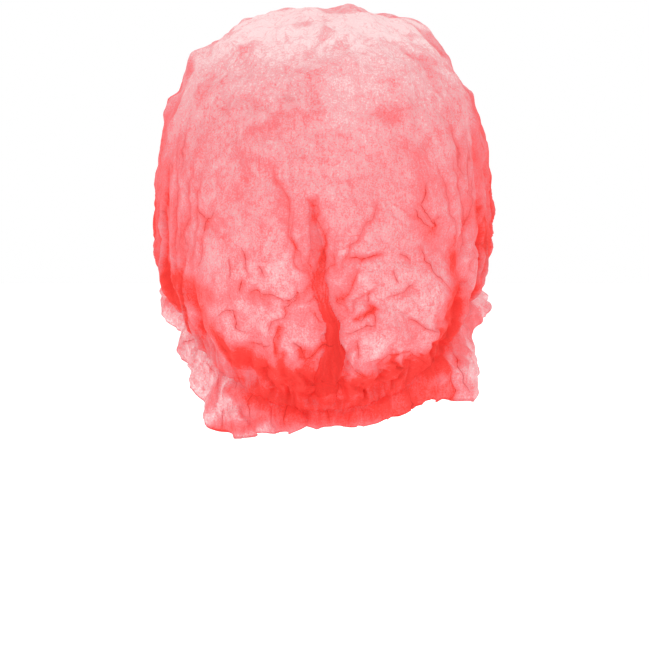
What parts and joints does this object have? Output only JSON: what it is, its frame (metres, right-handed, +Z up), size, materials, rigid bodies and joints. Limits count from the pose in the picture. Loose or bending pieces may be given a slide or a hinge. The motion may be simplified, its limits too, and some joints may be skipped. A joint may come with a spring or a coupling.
{
  "type": "disposable hairnet cap",
  "caption": "Hollow disposable hair cap of thin red spunbond cloth, puffed over the crown and gathered into an elastic hem with a free frill and a bundle of pleats at the nape.",
  "frame": {"origin": "middle of the head opening, level with the hem above the ears, where a head holds the cap up", "axes": "+Z up, -Y towards the forehead, +Y towards the nape, +X towards the wearer's left"},
  "size_m": [0.1741, 0.2085, 0.2145],
  "materials": {
    "cloth_sheet": "thin sheer red spunbond polypropylene, matt, crumpled",
    "cloth_gathered": "many gathered layers of red spunbond polypropylene, matt, nearly opaque"
  },
  "bodies": {
    "root": {"crown": "cloth_sheet", "frill": "cloth_sheet", "elastic_hem": "cloth_gathered", "back_gather": "cloth_gathered"}
  },
  "joints": []
}
